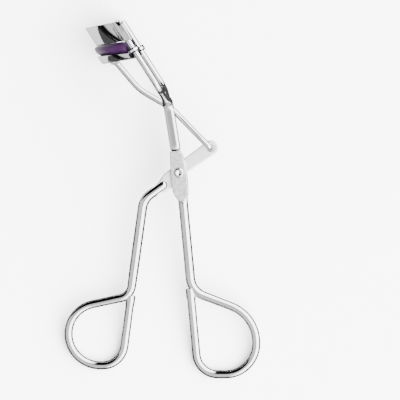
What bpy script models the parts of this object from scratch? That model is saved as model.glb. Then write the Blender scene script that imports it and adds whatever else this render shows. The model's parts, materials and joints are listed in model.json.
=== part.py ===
"""Eyelash curler with a sliding lower jaw, a silicone curling pad and two finger loops.

Units are metres and +Z is up. The tool is drawn flat first, in its own frame: x across the
handles, y from the finger loops to the jaws, z from the rear side to the front side, with the
main rivet at the origin. The empty tool_frame then lays it on its rear side, as it lies on a
table: it rests on the shoulder of the rear arm and on the ends of both finger loops.

Jaws shut, lever handle in: this is the rest position. The lever turns about the main rivet.
The push rod and the lower jaw turn about the eye at the other end of the lever.
"""
import math

import bmesh
import bpy
from mathutils import Matrix, Vector

MM = 0.001
GAP = 0.3 * MM                      # clearance between pieces that touch

# Round stock
SHANK_RADIUS = 1.42 * MM            # handle rods beside the rivet
LOOP_RADIUS = 1.22 * MM             # the same rods, drawn thinner round the finger loops
ARM_RADIUS = 0.92 * MM              # the two arms that guide the lower jaw
ROD_RADIUS = 0.87 * MM              # the push rod
PIN_RADIUS = 0.72 * MM              # hooked end of the push rod, in the lever's eye

# Bends of each rod in the tool's plane: x, y and bend radius, from the rivet end outwards
LEVER_HANDLE_BENDS = (
    (-4.76, -3.68, 0.0),
    (-10.58, -7.91, 5.9),
    (-14.50, -36.41, 4.2),
    (-32.76, -40.44, 8.9),
    (-32.76, -56.97, 9.3),
    (-17.00, -56.97, 6.5),
    (-14.60, -38.60, 0.0),
)
LEVER_LOOP_END = (-14.30, -36.30)   # where the loop's end runs into its own shank
FRAME_HANDLE_BENDS = (
    (0.62, -3.97, 0.0),
    (3.56, -34.94, 6.0),
    (22.62, -42.20, 11.5),
    (22.62, -59.50, 9.1),
    (5.53, -59.50, 6.3),
    (3.40, -36.80, 0.0),
)
FRAME_LOOP_END = (3.15, -34.20)

# Pivot: lever plate between two cheeks, on one rivet
LEVER_THICKNESS = 1.3 * MM
CHEEK_INNER = 1.05 * MM             # inner faces of the cheeks, from the tool's plane
CHEEK_THICKNESS = 1.2 * MM
CHEEK_OUTLINE = (
    (-2.75, 6.45, 0.5),
    (0.20, 6.45, 0.5),
    (1.50, 3.68, 8.0),
    (2.50, -2.80, 15.0),
    (2.56, -7.20, 1.2),
    (1.18, -8.44, 1.2),
    (-0.29, -8.38, 1.5),
    (-1.85, -6.03, 4.0),
    (-2.56, -0.74, 12.0),
)
LEVER_OUTLINE = (
    (-7.20, -4.10, 0.5),
    (-4.56, -0.44, 5.0),
    (9.76, 10.44, 2.1),
    (12.20, 6.68, 2.1),
    (1.91, -0.15, 3.0),
    (-1.91, -4.40, 1.5),
    (-4.70, -5.90, 0.5),
)
LEVER_EYE = (9.20, 7.26)            # centre of the hole that takes the push rod
RIVET_RADIUS = 0.95 * MM
RIVET_HOLE_RADIUS = 1.25 * MM
RIVET_HEAD_RADIUS = 1.5 * MM
RIVET_HEAD_HEIGHT = 0.75 * MM
TANG_HALF_THICKNESS = 0.75 * MM     # the frame handle's flattened end, between the cheeks
TANG_LENGTH = 3.8 * MM
FORK_DEPTH = 3.2 * MM               # slot in the lever handle's end, over the lever plate

# Arms: parallel beside the jaws, then bent in to a neck of two straps side by side
ARM_SPREAD = 15.6 * MM              # arm's axis from the tool's plane, beside the jaws
NECK_SPREAD = 2.05 * MM
ARM_TOP = (-17.68, 44.20)
ARM_END_CHAMFER = 0.25 * MM
ARM_SHOULDER = (-5.09, 24.56)
ARM_CROTCH = (-3.35, 20.29)
ARM_FOOT = (-1.17, 6.85)
SHOULDER_BEND = 4.5 * MM
CROTCH_BEND = 3.0 * MM
NECK_HALF_WIDTH = 1.43 * MM
NECK_HALF_THICKNESS = 0.75 * MM
NECK_TAPER = (13.5 * MM, 19.0 * MM)  # distance from the foot where the strap becomes round wire

# Jaws. Both follow one arc. A place on them is (across, forward, drop): across the tool from
# its plane, forward from the arms towards the middle of the jaw, down along the arms.
JAW_FORWARD = (-0.983, -0.180)      # direction of forward, in the tool's plane
JAW_RADIUS = 15.25 * MM             # arc of the middle of the sheet
JAW_REACH = 9.95 * MM               # forward distance of the arc's middle
SHEET = 0.5 * MM
WRAP_GAP = 0.2 * MM                 # between an arm and the upper jaw's end rolled round it
STEP_RADIUS = 0.9 * MM              # bend where the upper jaw's end steps out in front of the arm
EAR_BACK = 0.75 * MM                # how far the rolled ends reach behind the arms' axes
UPPER_JAW_HEIGHT = 6.3 * MM
PAD_HALF_WIDTH = 1.5 * MM
PAD_CROWN_DROP = UPPER_JAW_HEIGHT + GAP
PAD_BULB_DROP = 9.25 * MM
PAD_FOOT_DROP = 11.3 * MM
PAD_FOOT_HALF_WIDTH = 1.0 * MM
PAD_END_ANGLE = math.radians(63.3)
TROUGH_HALF_WIDTH = 1.9 * MM
TROUGH_RIM_DROP = 9.55 * MM
RIM_FALL = 0.75 * MM                # how much lower the channel's rim is at its ends
TROUGH_FLOOR_DROP = 12.2 * MM
TROUGH_END_ANGLE = math.radians(63.5)
EYELET_DROPS = (8.85 * MM, 10.3 * MM)
EYELET_HOLE_RADIUS = ARM_RADIUS + 0.38 * MM
EYELET_OFFSET = 0.15 * MM           # towards the jaw, as the eyelet wanders the other way in mid stroke
EYELET_RADIUS = 1.70 * MM
TONGUE_TOP_DROP = 9.2 * MM
SADDLE_FORWARD = (6.9 * MM, 9.4 * MM)
SADDLE_HALF_WIDTH = 1.6 * MM
SADDLE_THICKNESS = 0.5 * MM

# Push rod: x, y, z and bend radius, from under the lower jaw to the lever's eye
ROD_Z = LEVER_THICKNESS / 2 + GAP + ROD_RADIUS
ROD_BENDS = (
    (-17.93, 31.50, 0.0, 0.0),
    (-11.85, 24.35, 0.0, 15.0),
    (-2.26, 18.76, 0.0, 12.0),
    (0.15, 16.32, 0.0, 6.0),
    (6.60, 9.81, ROD_Z / MM, 4.0),
    (*LEVER_EYE, ROD_Z / MM, 1.1),
    (*LEVER_EYE, -1.55, 0.0),
)
EYE_HOLE_RADIUS = 1.02 * MM
EYE_WASHER = (1.02 * MM, 1.55 * MM, 0.35 * MM)   # inner radius, outer radius, thickness

ARC_STEP = math.radians(11.0)
CHROME = (0.78, 0.79, 0.80, 1.0)
SATIN = (0.66, 0.67, 0.69, 1.0)
PURPLE = (0.16, 0.05, 0.34, 1.0)


# ---------------------------------------------------------------- scene and materials

def clear_scene():
    for obj in list(bpy.data.objects):
        bpy.data.objects.remove(obj, do_unlink=True)


def metal(name, colour, roughness):
    material = bpy.data.materials.new(name)
    material.use_nodes = True
    shader = material.node_tree.nodes["Principled BSDF"]
    shader.inputs["Base Color"].default_value = colour
    shader.inputs["Metallic"].default_value = 1.0
    shader.inputs["Roughness"].default_value = roughness
    return material


def silicone(name, colour):
    material = bpy.data.materials.new(name)
    material.use_nodes = True
    shader = material.node_tree.nodes["Principled BSDF"]
    shader.inputs["Base Color"].default_value = colour
    shader.inputs["Metallic"].default_value = 0.0
    shader.inputs["Roughness"].default_value = 0.38
    return material


def new_object(name, bm, material=None):
    bmesh.ops.recalc_face_normals(bm, faces=bm.faces)
    mesh = bpy.data.meshes.new(name)
    bm.to_mesh(mesh)
    bm.free()
    mesh.shade_smooth()
    mesh.set_sharp_from_angle(angle=math.radians(38.0))
    if material is not None:
        mesh.materials.append(material)
    obj = bpy.data.objects.new(name, mesh)
    bpy.context.collection.objects.link(obj)
    return obj


def boolean(obj, tool, operation):
    tool.hide_render = True
    tool.display_type = "WIRE"
    modifier = obj.modifiers.new(operation.title() + " " + tool.name, "BOOLEAN")
    modifier.operation = operation
    modifier.object = tool


# ---------------------------------------------------------------- paths and outlines

def bent_path(corners, radii, longest=6.0 * MM):
    """Points along straight runs joined by arcs, as a rod is bent round pegs."""
    points = [corners[0]]
    for i in range(1, len(corners) - 1):
        corner = corners[i]
        towards = (corner - corners[i - 1]).normalized()
        away = (corners[i + 1] - corner).normalized()
        turn = towards.angle(away)
        reach = radii[i] * math.tan(turn / 2)
        axis = towards.cross(away).normalized()
        start = corner - towards * reach
        centre = start + axis.cross(towards) * radii[i]
        steps = max(2, math.ceil(turn / ARC_STEP))
        for step in range(steps + 1):
            spin = Matrix.Rotation(turn * step / steps, 3, axis)
            points.append(centre + spin @ (start - centre))
    points.append(corners[-1])
    path = [points[0]]
    for point in points[1:]:
        run = (point - path[-1]).length
        if run < 0.02 * MM:
            continue
        start = path[-1]
        parts = max(1, math.ceil(run / longest))
        for part in range(1, parts + 1):
            path.append(start.lerp(point, part / parts))
    return path


def flat_path(bends, longest=6.0 * MM):
    corners = [Vector((x, y, 0.0)) * MM for x, y, _ in bends]
    radii = [radius * MM for _, _, radius in bends]
    return bent_path(corners, radii, longest)


def rounded_outline(corners):
    """Closed outline whose corners are arcs of the radii given."""
    points = [Vector((x, y)) * MM for x, y, _ in corners]
    outline = []
    for i, corner in enumerate(points):
        towards = (corner - points[i - 1]).normalized()
        away = (points[(i + 1) % len(points)] - corner).normalized()
        turn = towards.angle_signed(away)
        radius = corners[i][2] * MM
        reach = radius * math.tan(abs(turn) / 2)
        start = corner - towards * reach
        steps = max(1, math.ceil(abs(turn) / (2 * ARC_STEP)))
        side = Vector((towards.y, -towards.x)) * math.copysign(1.0, turn)
        centre = start + side * radius
        for step in range(steps + 1):
            spin = Matrix.Rotation(-turn * step / steps, 2)
            outline.append(centre + spin @ (start - centre))
    return outline


def along(path):
    """Distance of each point of a path from its start."""
    lengths = [0.0]
    for before, after in zip(path, path[1:]):
        lengths.append(lengths[-1] + (after - before).length)
    return lengths


def ramp(value, start, end, low, high):
    """Smooth change from low to high as value goes from start to end."""
    share = min(1.0, max(0.0, (value - start) / (end - start)))
    share = share * share * (3 - 2 * share)
    return low + (high - low) * share


# ---------------------------------------------------------------- solids

def bridge_rings(bm, rings):
    """Skin a row of rings and close both ends."""
    count = len(rings[0])
    for before, after in zip(rings, rings[1:]):
        for i in range(count):
            j = (i + 1) % count
            bm.faces.new((before[i], before[j], after[j], after[i]))
    bm.faces.new(rings[0])
    bm.faces.new(list(reversed(rings[-1])))


def swept_rod(path, sizes, sides, first_side, round_ends=(False, False)):
    """Rod of elliptic section along a path. sizes gives each point's two half sizes:
    across the path towards first_side, and square to both."""
    tangents = []
    for i in range(len(path)):
        before = path[max(i - 1, 0)]
        after = path[min(i + 1, len(path) - 1)]
        tangents.append((after - before).normalized())
    frames = []
    side = (first_side - tangents[0] * first_side.dot(tangents[0])).normalized()
    previous = tangents[0]
    for tangent in tangents:
        side = previous.rotation_difference(tangent) @ side
        side = (side - tangent * side.dot(tangent)).normalized()
        frames.append((side, tangent.cross(side)))
        previous = tangent

    def ring_points(centre, frame, size):
        ring = []
        for step in range(sides):
            angle = 2 * math.pi * step / sides
            offset = frame[0] * (size[0] * math.cos(angle)) + frame[1] * (size[1] * math.sin(angle))
            ring.append(centre + offset)
        return ring

    rings = [ring_points(*station) for station in zip(path, frames, sizes)]
    dome = (25.0, 50.0, 75.0)
    if round_ends[0]:
        for degrees in dome:
            rings.insert(0, dome_ring(ring_points, path[0], -tangents[0], frames[0], sizes[0], degrees))
    if round_ends[1]:
        for degrees in dome:
            rings.append(dome_ring(ring_points, path[-1], tangents[-1], frames[-1], sizes[-1], degrees))
    bm = bmesh.new()
    bridge_rings(bm, [[bm.verts.new(point) for point in ring] for ring in rings])
    return bm


def dome_ring(ring_points, end, outwards, frame, size, degrees):
    angle = math.radians(degrees)
    scale = math.cos(angle)
    centre = end + outwards * (min(size) * math.sin(angle))
    return ring_points(centre, frame, (size[0] * scale, size[1] * scale))


def prism(outline, low, high):
    """Plate between two heights over an outline in the tool's plane."""
    bm = bmesh.new()
    rings = []
    for height in (low, high):
        rings.append([bm.verts.new((point.x, point.y, height)) for point in outline])
    bridge_rings(bm, rings)
    return bm


def turned(profile, sides, centre=(0.0, 0.0)):
    """Solid of revolution about an axis along z, from (radius, z) points, bottom to top."""
    bm = bmesh.new()
    rings = []
    for radius, height in profile:
        ring = []
        for step in range(sides):
            angle = 2 * math.pi * step / sides
            x = centre[0] * MM + radius * math.cos(angle)
            y = centre[1] * MM + radius * math.sin(angle)
            ring.append(bm.verts.new((x, y, height)))
        rings.append(ring)
    bridge_rings(bm, rings)
    return bm


def ring_solid(inner, outer, low, high, sides, centre):
    """Flat washer about an axis along z."""
    bm = bmesh.new()
    loops = []
    for radius, height in ((inner, low), (outer, low), (outer, high), (inner, high)):
        loop = []
        for step in range(sides):
            angle = 2 * math.pi * step / sides
            x = centre[0] * MM + radius * math.cos(angle)
            y = centre[1] * MM + radius * math.sin(angle)
            loop.append(bm.verts.new((x, y, height)))
        loops.append(loop)
    for i, before in enumerate(loops):
        after = loops[(i + 1) % len(loops)]
        for a in range(sides):
            b = (a + 1) % sides
            bm.faces.new((before[a], before[b], after[b], after[a]))
    return bm


# ---------------------------------------------------------------- jaw coordinates

def slide_direction():
    """Unit vector up along the arms, the way the lower jaw slides shut."""
    top = Vector((*ARM_TOP, 0.0))
    shoulder = Vector((*ARM_SHOULDER, 0.0))
    return (top - shoulder).normalized()


def jaw_point(across, forward, drop):
    top = Vector((*ARM_TOP, 0.0)) * MM
    place = top + Vector((*JAW_FORWARD, 0.0)).normalized() * forward
    place -= slide_direction() * drop
    place.z = across
    return place


def jaw_arc(half_angle, steps):
    """Plan of the jaws: (across, forward) points and the way out from the arc at each."""
    centre = JAW_REACH - JAW_RADIUS
    places = []
    for step in range(steps + 1):
        angle = -half_angle + 2 * half_angle * step / steps
        outwards = Vector((math.sin(angle), math.cos(angle)))
        places.append((Vector((0.0, centre)) + outwards * JAW_RADIUS, outwards))
    return places


def rim_fall(outwards):
    """How far the channel's rim has fallen at a place on the arc."""
    angle = math.atan2(outwards.x, outwards.y)
    return RIM_FALL * min(1.0, (angle / TROUGH_END_ANGLE) ** 2)


def jaw_ribbon(places, sections):
    """Sweep sections of (outward offset, drop) points along a plan line."""
    bm = bmesh.new()
    rings = []
    for (place, outwards), section in zip(places, sections):
        ring = []
        for offset, drop in section:
            spot = place + outwards * offset
            ring.append(bm.verts.new(jaw_point(spot.x, spot.y, drop)))
        rings.append(ring)
    bridge_rings(bm, rings)
    return bm


# ---------------------------------------------------------------- handles and pivot

def handle_rod(name, bends, loop_end, material, tang):
    """Rod from the rivet round its finger loop, with the loop's end closed on the shank."""
    path = flat_path(bends)
    lengths = along(path)
    sizes = []
    for distance in lengths:
        radius = ramp(distance, 24 * MM, 42 * MM, SHANK_RADIUS, LOOP_RADIUS)
        half_z = radius
        if tang:
            half_z = ramp(distance, TANG_LENGTH, TANG_LENGTH + 1.2 * MM, TANG_HALF_THICKNESS, radius)
        sizes.append((radius, half_z))
    bm = swept_rod(path, sizes, 16, Vector((1.0, 0.0, 0.0)), (not tang, False))
    obj = new_object(name, bm, material)
    start = path[-1] + (path[-2] - path[-1]).normalized() * (0.6 * MM)
    end = Vector((*loop_end, 0.0)) * MM
    stub_radius = LOOP_RADIUS * 0.985
    stub = swept_rod([start, end], [(stub_radius, stub_radius)] * 2, 16, Vector((1.0, 0.0, 0.0)))
    stub = new_object(name + "_closing_stub", stub)
    boolean(obj, stub, "UNION")
    return [obj, stub]


def tang_path_points():
    """Extra points near the frame handle's end, where it is pressed flat."""
    start = Vector((FRAME_HANDLE_BENDS[0][0], FRAME_HANDLE_BENDS[0][1])) * MM
    nxt = Vector((FRAME_HANDLE_BENDS[1][0], FRAME_HANDLE_BENDS[1][1])) * MM
    way = (nxt - start).normalized()
    return [start + way * (TANG_LENGTH + extra) for extra in (0.0, 0.6 * MM, 1.2 * MM)]


def frame_handle(material):
    bends = list(FRAME_HANDLE_BENDS)
    extra = [(point.x / MM, point.y / MM, 1.0) for point in tang_path_points()]
    bends[1:1] = extra
    return handle_rod("frame_handle", bends, FRAME_LOOP_END, material, tang=True)


def lever_handle(material):
    obj, stub = handle_rod("lever_handle", LEVER_HANDLE_BENDS, LEVER_LOOP_END, material, tang=False)
    end = Vector((LEVER_HANDLE_BENDS[0][0], LEVER_HANDLE_BENDS[0][1])) * MM
    bend = Vector((LEVER_HANDLE_BENDS[1][0], LEVER_HANDLE_BENDS[1][1])) * MM
    way = (end - bend).normalized()
    side = Vector((-way.y, way.x)) * 4 * MM
    back = end - way * FORK_DEPTH
    front = end + way * 3 * MM
    half = LEVER_THICKNESS / 2 + GAP
    outline = [back - side, back + side, front + side, front - side]
    cutter = new_object("lever_handle_fork", prism(outline, -half, half))
    boolean(obj, cutter, "DIFFERENCE")
    return [obj, stub, cutter]


def hole_cutter(radius, centre):
    reach = 3 * MM
    return turned([(radius, -reach), (radius, reach)], 20, centre)


def lever_plate(material):
    half = LEVER_THICKNESS / 2
    obj = new_object("lever_plate", prism(rounded_outline(LEVER_OUTLINE), -half, half), material)
    rivet_cut = new_object("lever_rivet_cut", hole_cutter(RIVET_HOLE_RADIUS, (0.0, 0.0)))
    eye_cut = new_object("lever_eye_cut", hole_cutter(EYE_HOLE_RADIUS, LEVER_EYE))
    boolean(obj, rivet_cut, "DIFFERENCE")
    boolean(obj, eye_cut, "DIFFERENCE")
    return [obj, rivet_cut, eye_cut]


def cheek(name, side, material):
    low, high = sorted((side * CHEEK_INNER, side * (CHEEK_INNER + CHEEK_THICKNESS)))
    obj = new_object(name, prism(rounded_outline(CHEEK_OUTLINE), low, high), material)
    cutter = new_object(name + "_rivet_cut", hole_cutter(RIVET_HOLE_RADIUS, (0.0, 0.0)))
    boolean(obj, cutter, "DIFFERENCE")
    return [obj, cutter]


def pivot_rivet(material):
    face = CHEEK_INNER + CHEEK_THICKNESS + GAP
    profile = [
        (RIVET_RADIUS * 0.8, -face - 0.75 * MM), (RIVET_RADIUS, -face - 0.6 * MM),
        (RIVET_RADIUS, face), (RIVET_HEAD_RADIUS, face),
    ]
    for degrees in (0, 20, 40, 60, 80):
        angle = math.radians(degrees)
        height = face + RIVET_HEAD_HEIGHT * (0.25 + 0.75 * math.sin(angle))
        profile.append((RIVET_HEAD_RADIUS * math.cos(angle), height))
    return new_object("pivot_rivet", turned(profile, 24), material)


def rivet_burr(material):
    face = CHEEK_INNER + CHEEK_THICKNESS + GAP
    outer = RIVET_HEAD_RADIUS + 0.15 * MM
    bm = ring_solid(RIVET_HOLE_RADIUS, outer, -face - 0.45 * MM, -face, 24, (0.0, 0.0))
    return new_object("rivet_burr", bm, material)


# ---------------------------------------------------------------- arms

def arm(name, side, material):
    """One arm: neck strap from the pivot, out round the shoulder, and up beside the jaws."""
    corners = [
        Vector((ARM_FOOT[0] * MM, ARM_FOOT[1] * MM, side * NECK_SPREAD)),
        Vector((ARM_CROTCH[0] * MM, ARM_CROTCH[1] * MM, side * NECK_SPREAD)),
        Vector((ARM_SHOULDER[0] * MM, ARM_SHOULDER[1] * MM, side * ARM_SPREAD)),
        Vector((ARM_TOP[0] * MM, ARM_TOP[1] * MM, side * ARM_SPREAD)),
    ]
    path = bent_path(corners, (0.0, CROTCH_BEND, SHOULDER_BEND, 0.0), longest=2.2 * MM)
    sizes = []
    for distance in along(path):
        half_width = ramp(distance, *NECK_TAPER, NECK_HALF_WIDTH, ARM_RADIUS)
        half_thickness = ramp(distance, *NECK_TAPER, NECK_HALF_THICKNESS, ARM_RADIUS)
        sizes.append((half_width, half_thickness))
    path.append(path[-1] + slide_direction() * ARM_END_CHAMFER)
    sizes.append((ARM_RADIUS - ARM_END_CHAMFER, ARM_RADIUS - ARM_END_CHAMFER))
    bm = swept_rod(path, sizes, 12, Vector((1.0, 0.0, 0.0)))
    return new_object(name, bm, material)


# ---------------------------------------------------------------- jaws and push rod

def upper_jaw(material):
    """Curved sheet. Each end steps out in front of its arm and is rolled round its outer side."""
    slant = slide_direction().cross(Vector((*JAW_FORWARD, 0.0)).normalized()).length
    wrap = ARM_RADIUS + WRAP_GAP + SHEET / 2
    front = wrap / slant
    meet = math.acos((front + STEP_RADIUS * 0.4 - JAW_REACH + JAW_RADIUS) / JAW_RADIUS)
    half = [place for place in jaw_arc(meet, 28) if place[0].x >= -1e-9]
    end = half[-1][0]
    step_out = Vector((math.sin(meet / 2), math.cos(meet / 2)))
    half.append((Vector((end.x + 0.45 * STEP_RADIUS, front)), step_out))
    for degrees in (90.0, 67.5, 45.0, 22.5, 0.0):
        angle = math.radians(degrees)
        out = Vector((math.cos(angle), math.sin(angle)))
        half.append((Vector((ARM_SPREAD + wrap * out.x, front * out.y)), out))
    half.append((Vector((ARM_SPREAD + wrap, -EAR_BACK)), Vector((1.0, 0.0))))
    mirrored = []
    for place, out in reversed(half[1:]):
        mirrored.append((Vector((-place.x, place.y)), Vector((-out.x, out.y))))
    places = mirrored + half
    thick = SHEET / 2
    edge = 0.1 * MM
    section = [
        (thick, edge), (thick, UPPER_JAW_HEIGHT - edge), (thick - edge, UPPER_JAW_HEIGHT),
        (edge - thick, UPPER_JAW_HEIGHT), (-thick, UPPER_JAW_HEIGHT - edge), (-thick, edge),
        (edge - thick, 0.0), (thick - edge, 0.0),
    ]
    return new_object("upper_jaw", jaw_ribbon(places, [section] * len(places)), material)


def lower_jaw(material):
    """Curved channel that holds the pad."""
    places = jaw_arc(TROUGH_END_ANGLE, 26)
    out = TROUGH_HALF_WIDTH
    inner = out - SHEET
    round_off = 0.35 * MM
    floor = TROUGH_FLOOR_DROP
    sections = []
    for _, outwards in places:
        rim = TROUGH_RIM_DROP + rim_fall(outwards)
        sections.append([
            (out, rim), (out, floor - round_off), (out - round_off, floor),
            (round_off - out, floor), (-out, floor - round_off), (-out, rim),
            (-inner, rim), (-inner, floor - SHEET), (inner, floor - SHEET), (inner, rim),
        ])
    return new_object("lower_jaw", jaw_ribbon(places, sections), material)


def curl_pad(material):
    """Silicone strip: a round bulb under the upper jaw's edge and a foot in the channel."""
    places = jaw_arc(PAD_END_ANGLE, 26)
    sections = [pad_section(PAD_BULB_DROP + rim_fall(outwards)) for _, outwards in places]
    return new_object("curl_pad", jaw_ribbon(places, sections), material)


def pad_section(bulb):
    """Half-round bulb down to the drop called bulb, on a foot inside the channel."""
    wide = PAD_HALF_WIDTH
    crown = PAD_CROWN_DROP
    depth = bulb - crown
    side = [
        (wide * 0.84, bulb), (wide, bulb - 0.25 * depth), (wide * 0.97, bulb - 0.48 * depth),
        (wide * 0.78, bulb - 0.76 * depth), (wide * 0.42, bulb - 0.95 * depth),
    ]
    other = [(-offset, drop) for offset, drop in reversed(side)]
    half = PAD_FOOT_HALF_WIDTH
    foot = [(-half, bulb), (-half, PAD_FOOT_DROP), (half, PAD_FOOT_DROP), (half, bulb)]
    return side + [(0.0, crown)] + other + foot


def upright_prism(points, top_drop, bottom_drop, across):
    """Prism along the arms, from (forward, across) offsets square to the arm's axis."""
    up = slide_direction()
    square = Vector((-up.y, up.x, 0.0))
    if square.dot(Vector((*JAW_FORWARD, 0.0))) < 0:
        square.negate()
    bm = bmesh.new()
    rings = []
    for drop in (bottom_drop, top_drop):
        centre = jaw_point(across, 0.0, drop)
        ring = []
        for forward, sideways in points:
            place = centre + square * (forward + EYELET_OFFSET) + Vector((0.0, 0.0, sideways))
            ring.append(bm.verts.new(place))
        rings.append(ring)
    bridge_rings(bm, rings)
    return bm


def circle_points(radius, sides):
    angles = [2 * math.pi * step / sides for step in range(sides)]
    return [(radius * math.cos(angle), radius * math.sin(angle)) for angle in angles]


def guide_eyelet(name, side, material):
    """Ring round an arm, with a tongue to the end of the lower jaw's channel."""
    across = side * ARM_SPREAD
    top, bottom = EYELET_DROPS
    ring = upright_prism(circle_points(EYELET_RADIUS, 24), top, bottom, across)
    obj = new_object(name, ring, material)
    slant = slide_direction().cross(Vector((*JAW_FORWARD, 0.0)).normalized()).length
    centre = JAW_REACH - JAW_RADIUS
    angle = TROUGH_END_ANGLE + math.radians(1.4)
    outline = [(0.9 * MM, 1.0 * MM * side), (-0.9 * MM, -1.0 * MM * side)]
    for offset in (-1.5 * MM, 1.5 * MM):
        reach = JAW_RADIUS + offset
        forward = centre + reach * math.cos(angle)
        outline.append((forward * slant, side * (reach * math.sin(angle) - ARM_SPREAD)))
    flat = upright_prism(outline, TONGUE_TOP_DROP, bottom - 0.05 * MM, across)
    tongue = new_object(name + "_tongue", flat)
    bore = upright_prism(circle_points(EYELET_HOLE_RADIUS, 24), top - MM, bottom + MM, across)
    hole = new_object(name + "_hole", bore)
    boolean(obj, tongue, "UNION")
    boolean(obj, hole, "DIFFERENCE")
    return [obj, tongue, hole]


def rod_saddle(material):
    """Small plate under the middle of the channel, where the push rod is fixed."""
    top = TROUGH_FLOOR_DROP + GAP
    back, front = SADDLE_FORWARD
    half = SADDLE_HALF_WIDTH
    bm = bmesh.new()
    rings = []
    for drop in (top + SADDLE_THICKNESS, top):
        corners = ((-half, back), (half, back), (half, front), (-half, front))
        rings.append([bm.verts.new(jaw_point(across, forward, drop)) for across, forward in corners])
    bridge_rings(bm, rings)
    return new_object("rod_saddle", bm, material)


def push_rod(material):
    corners = [Vector((x, y, z)) * MM for x, y, z, _ in ROD_BENDS]
    radii = [radius * MM for _, _, _, radius in ROD_BENDS]
    path = bent_path(corners, radii, longest=4.0 * MM)
    lengths = along(path)
    sizes = []
    for distance in lengths:
        radius = ramp(lengths[-1] - distance, 1.6 * MM, 2.4 * MM, PIN_RADIUS, ROD_RADIUS)
        sizes.append((radius, radius))
    bm = swept_rod(path, sizes, 12, Vector((0.0, 0.0, 1.0)))
    return new_object("push_rod", bm, material)


def eye_washer(material):
    inner, outer, thickness = EYE_WASHER
    top = -LEVER_THICKNESS / 2 - GAP
    washer = ring_solid(inner, outer, top - thickness, top, 20, LEVER_EYE)
    return new_object("eye_washer", washer, material)


# ---------------------------------------------------------------- assembly

def empty(name, place, parent):
    obj = bpy.data.objects.new(name, None)
    obj.empty_display_size = 4 * MM
    bpy.context.collection.objects.link(obj)
    obj.parent = parent
    obj.location = place
    return obj


def hang(objects, holder, place):
    """Parent objects that were drawn in the tool's frame to an empty at place."""
    for obj in objects:
        obj.parent = holder
        obj.location = -place


def lie_down(frame, objects):
    """Turn the tool onto its rear side and set the middle of its base at the origin."""
    up = slide_direction()
    shoulder = Vector((*ARM_SHOULDER, 0.0)) * MM + up * (SHOULDER_BEND * 0.75)
    shoulder.z = -ARM_SPREAD - ARM_RADIUS
    left = Vector((-23.5 * MM, -56.97 * MM, -LOOP_RADIUS))
    right = Vector((13.5 * MM, -59.5 * MM, -LOOP_RADIUS))
    normal = (right - left).cross(shoulder - left).normalized()
    along_y = Vector((0.0, 1.0, 0.0))
    along_y = (along_y - normal * along_y.dot(normal)).normalized()
    along_x = along_y.cross(normal)
    turn = Matrix((along_x, along_y, normal)).to_4x4()
    frame.matrix_world = turn
    bpy.context.view_layer.update()
    depsgraph = bpy.context.evaluated_depsgraph_get()
    corners = []
    for obj in objects:
        evaluated = obj.evaluated_get(depsgraph)
        mesh = evaluated.to_mesh()
        corners += [evaluated.matrix_world @ vertex.co for vertex in mesh.vertices]
        evaluated.to_mesh_clear()
    low = [min(corner[axis] for corner in corners) for axis in range(3)]
    high = [max(corner[axis] for corner in corners) for axis in range(3)]
    middle = Vector(((low[0] + high[0]) / 2, (low[1] + high[1]) / 2, low[2]))
    frame.matrix_world = Matrix.Translation(-middle) @ turn
    bpy.context.view_layer.update()


def main():
    clear_scene()
    chrome = metal("chrome", CHROME, 0.08)
    satin = metal("satin_plate", SATIN, 0.22)
    purple = silicone("purple_silicone", PURPLE)

    frame = empty("tool_frame", Vector((0.0, 0.0, 0.0)), None)
    lever = empty("lever_pivot", Vector((0.0, 0.0, 0.0)), frame)
    eye = Vector((*LEVER_EYE, 0.0)) * MM
    jaw = empty("jaw_pivot", eye, frame)

    fixed = frame_handle(chrome)
    fixed += cheek("cheek_front", 1, satin)
    fixed += cheek("cheek_rear", -1, satin)
    fixed += [arm("arm_front", 1, chrome), arm("arm_rear", -1, chrome)]
    fixed += [upper_jaw(chrome), pivot_rivet(chrome), rivet_burr(chrome)]
    hang(fixed, frame, Vector((0.0, 0.0, 0.0)))

    moving = lever_handle(chrome) + lever_plate(satin)
    hang(moving, lever, Vector((0.0, 0.0, 0.0)))

    sliding = [lower_jaw(chrome), curl_pad(purple)]
    sliding += [rod_saddle(chrome), push_rod(chrome), eye_washer(chrome)]
    sliding += guide_eyelet("eyelet_front", 1, chrome)
    sliding += guide_eyelet("eyelet_rear", -1, chrome)
    hang(sliding, jaw, eye)

    solids = [obj for obj in fixed + moving + sliding if not obj.hide_render]
    lie_down(frame, solids)


main()
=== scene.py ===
"""Looks of the eyelash curler: plated steel rods, jaws and plates, and the silicone pad.

Every piece is drawn in the tool's own frame, in metres: x across the handles, y from the
finger loops to the jaws, z from the rear side to the front side, main rivet at the origin.
The frame's place comes from the two joints in the record.
"""

import json
import math

import bmesh
import bpy
from mathutils import Matrix, Vector


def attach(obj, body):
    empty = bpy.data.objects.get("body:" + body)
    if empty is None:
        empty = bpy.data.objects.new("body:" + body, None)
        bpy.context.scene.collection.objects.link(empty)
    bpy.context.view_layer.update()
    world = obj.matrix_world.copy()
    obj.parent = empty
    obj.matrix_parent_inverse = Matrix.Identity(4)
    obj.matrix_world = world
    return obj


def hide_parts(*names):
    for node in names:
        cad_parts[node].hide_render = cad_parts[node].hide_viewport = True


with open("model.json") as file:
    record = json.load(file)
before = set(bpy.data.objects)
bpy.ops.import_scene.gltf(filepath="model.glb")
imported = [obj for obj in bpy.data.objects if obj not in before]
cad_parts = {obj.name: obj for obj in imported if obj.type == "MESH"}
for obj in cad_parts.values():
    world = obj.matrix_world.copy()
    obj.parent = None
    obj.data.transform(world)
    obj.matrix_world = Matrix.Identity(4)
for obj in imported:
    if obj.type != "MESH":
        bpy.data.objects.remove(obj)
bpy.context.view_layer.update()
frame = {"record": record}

MM = 0.001

# ---------------------------------------------------------------- driving dimensions

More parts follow.
